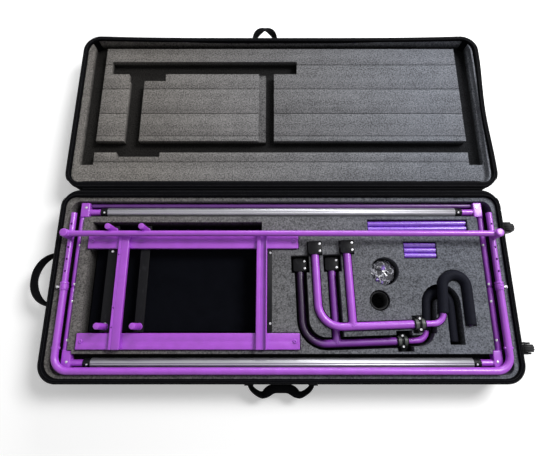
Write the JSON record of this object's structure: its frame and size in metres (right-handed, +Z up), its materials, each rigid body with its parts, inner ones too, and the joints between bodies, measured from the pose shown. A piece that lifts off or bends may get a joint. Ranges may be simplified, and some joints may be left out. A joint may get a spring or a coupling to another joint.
{
  "type": "quilting frame kit in a wheeled case",
  "caption": "Taken-down tubular frame with rollers, U-shaped stand, ladder platform and padded hook arms, packed in the fitted foam of an open, wheeled soft case.",
  "frame": {"origin": "centre of the base's underside, on the floor", "axes": "+X along the case to the wheels, +Y back to the hinge and the lid, +Z up"},
  "size_m": [1.6735, 1.4038, 0.1613],
  "materials": {
    "shell_cloth": "matt black woven cloth",
    "webbing": "matt black webbing",
    "foam_grey": "matt grey closed-cell foam",
    "grip_foam": "matt black foam sleeve",
    "board_cloth": "matt black cloth",
    "powder_purple": "glossy purple powder coat",
    "loose_tube_violet": "satin violet coat",
    "roller_silver": "brushed silver",
    "bright_steel": "bright steel",
    "black_plastic": "matt black plastic",
    "black_rubber": "black rubber",
    "clear_film": "clear plastic film"
  },
  "bodies": {
    "case_base": {"base_shell": "shell_cloth", "base_foam": "foam_grey", "wheel_bracket_back": "black_plastic", "wheel_bracket_front": "black_plastic", "wheel_axle_back": "bright_steel", "wheel_axle_front": "bright_steel"},
    "lid": {"lid_shell": "shell_cloth", "lid_foam": "foam_grey"},
    "side_handle": {"side_handle": "webbing"},
    "front_handle": {"front_handle": "webbing"},
    "lid_handle": {"lid_handle": "webbing"},
    "wheel_back": {"wheel_back": "black_rubber"},
    "wheel_front": {"wheel_front": "black_rubber"},
    "roller_frame": {"roller_rail_left": "powder_purple", "roller_rail_right": "powder_purple", "spreader_bar": "powder_purple"},
    "roller_back": {"roller_back": "roller_silver", "bushing_back_left": "black_plastic", "bushing_back_right": "black_plastic"},
    "roller_front": {"roller_front": "roller_silver", "bushing_front_left": "black_plastic", "bushing_front_right": "black_plastic"},
    "board": {"board": "board_cloth"},
    "platform": {"platform_rail_back": "powder_purple", "platform_rail_front": "powder_purple", "cross_channel_left": "powder_purple", "cross_channel_right": "powder_purple", "post_strip_left": "black_plastic", "post_strip_right": "black_plastic", "angle_strip": "black_plastic"},
    "stand": {"stand_tube": "powder_purple", "collar_left": "powder_purple", "collar_right": "powder_purple"},
    "legs": {"inner_leg_left": "powder_purple", "inner_leg_right": "powder_purple", "cross_bar": "powder_purple"},
    "plunger_left": {"plunger_left": "bright_steel"},
    "plunger_right": {"plunger_right": "bright_steel"},
    "end_knob_left": {"end_knob_left": "powder_purple"},
    "end_knob_right": {"end_knob_right": "powder_purple"},
    "lower_arm": {"lower_arm_tube": "powder_purple", "lower_clamp_left": "black_plastic", "lower_clamp_right": "black_plastic", "lower_coupling": "black_plastic", "lower_hook_tube": "powder_purple", "lower_hook_grip": "grip_foam"},
    "upper_arm": {"upper_arm_tube": "powder_purple", "upper_clamp_left": "black_plastic", "upper_clamp_right": "black_plastic", "upper_coupling": "black_plastic", "upper_hook_tube": "powder_purple", "upper_hook_grip": "grip_foam"},
    "long_tubes": {"long_tube_front": "loose_tube_violet", "long_tube_back": "loose_tube_violet"},
    "short_tubes": {"short_tube_1": "loose_tube_violet", "short_tube_2": "loose_tube_violet", "short_tube_3": "loose_tube_violet"},
    "spare_ring": {"spare_ring": "black_rubber"},
    "hardware_bag": {"hardware_bag": "clear_film"}
  },
  "joints": [
    {"name": "lid_hinge", "type": "hinge", "parent": "case_base", "child": "lid", "pos_m": [0, 0.3165, 0.11], "axis": [-1, 0, 0], "range_deg": [-180, 0]},
    {"name": "wheel_spin_back", "type": "hinge", "parent": "case_base", "child": "wheel_back", "pos_m": [0.807, 0.195, 0.031], "axis": [0, 1, 0], "continuous": true},
    {"name": "wheel_spin_front", "type": "hinge", "parent": "case_base", "child": "wheel_front", "pos_m": [0.807, -0.216, 0.031], "axis": [0, 1, 0], "continuous": true},
    {"name": "side_handle_swing", "type": "hinge", "parent": "case_base", "child": "side_handle", "pos_m": [-0.7535, 0.005, 0.072], "axis": [0, 1, 0], "range_deg": [0, 80]},
    {"name": "front_handle_swing", "type": "hinge", "parent": "case_base", "child": "front_handle", "pos_m": [-0.003, -0.316, 0.062], "axis": [-1, 0, 0], "range_deg": [0, 100]},
    {"name": "lid_handle_swing", "type": "hinge", "parent": "lid", "child": "lid_handle", "pos_m": [-0.0625, 0.949, 0.062], "axis": [1, 0, 0], "range_deg": [0, 100]},
    {"name": "roller_frame_lift", "type": "slide", "parent": "case_base", "child": "roller_frame", "axis": [0, 0, 1], "range_m": [0, 0.15]},
    {"name": "roller_spin_back", "type": "hinge", "parent": "roller_frame", "child": "roller_back", "pos_m": [0, 0.2373, 0.0823], "axis": [1, 0, 0], "continuous": true},
    {"name": "roller_spin_front", "type": "hinge", "parent": "roller_frame", "child": "roller_front", "pos_m": [0, -0.2593, 0.0823], "axis": [1, 0, 0], "continuous": true},
    {"name": "board_lift", "type": "slide", "parent": "roller_frame", "child": "board", "axis": [0, 0, 1], "range_m": [0, 0.15]},
    {"name": "platform_lift", "type": "slide", "parent": "board", "child": "platform", "axis": [0, 0, 1], "range_m": [0, 0.15]},
    {"name": "stand_lift", "type": "slide", "parent": "platform", "child": "stand", "axis": [0, 0, 1], "range_m": [0, 0.15]},
    {"name": "leg_slide", "type": "slide", "parent": "stand", "child": "legs", "axis": [0, -1, 0], "range_m": [0, 0.13]},
    {"name": "plunger_pull_left", "type": "slide", "parent": "stand", "child": "plunger_left", "axis": [-1, 0, 0], "range_m": [0, 0.004], "stiffness_N_per_m": 300, "springref_m": -0.004},
    {"name": "plunger_pull_right", "type": "slide", "parent": "stand", "child": "plunger_right", "axis": [1, 0, 0], "range_m": [0, 0.004], "stiffness_N_per_m": 300, "springref_m": -0.004},
    {"name": "end_knob_spin_left", "type": "hinge", "parent": "legs", "child": "end_knob_left", "pos_m": [-0.707, 0.147, 0.156], "axis": [0, 0, 1], "continuous": true},
    {"name": "end_knob_spin_right", "type": "hinge", "parent": "legs", "child": "end_knob_right", "pos_m": [0.707, 0.147, 0.156], "axis": [0, 0, 1], "continuous": true},
    {"name": "lower_arm_lift", "type": "slide", "parent": "case_base", "child": "lower_arm", "axis": [0, 0, 1], "range_m": [0, 0.15]},
    {"name": "upper_arm_lift", "type": "slide", "parent": "lower_arm", "child": "upper_arm", "axis": [0, 0, 1], "range_m": [0, 0.15]},
    {"name": "long_tubes_lift", "type": "slide", "parent": "case_base", "child": "long_tubes", "axis": [0, 0, 1], "range_m": [0, 0.12]},
    {"name": "short_tubes_lift", "type": "slide", "parent": "case_base", "child": "short_tubes", "axis": [0, 0, 1], "range_m": [0, 0.12]},
    {"name": "ring_lift", "type": "slide", "parent": "case_base", "child": "spare_ring", "axis": [0, 0, 1], "range_m": [0, 0.12]},
    {"name": "bag_lift", "type": "slide", "parent": "case_base", "child": "hardware_bag", "axis": [0, 0, 1], "range_m": [0, 0.12]}
  ]
}
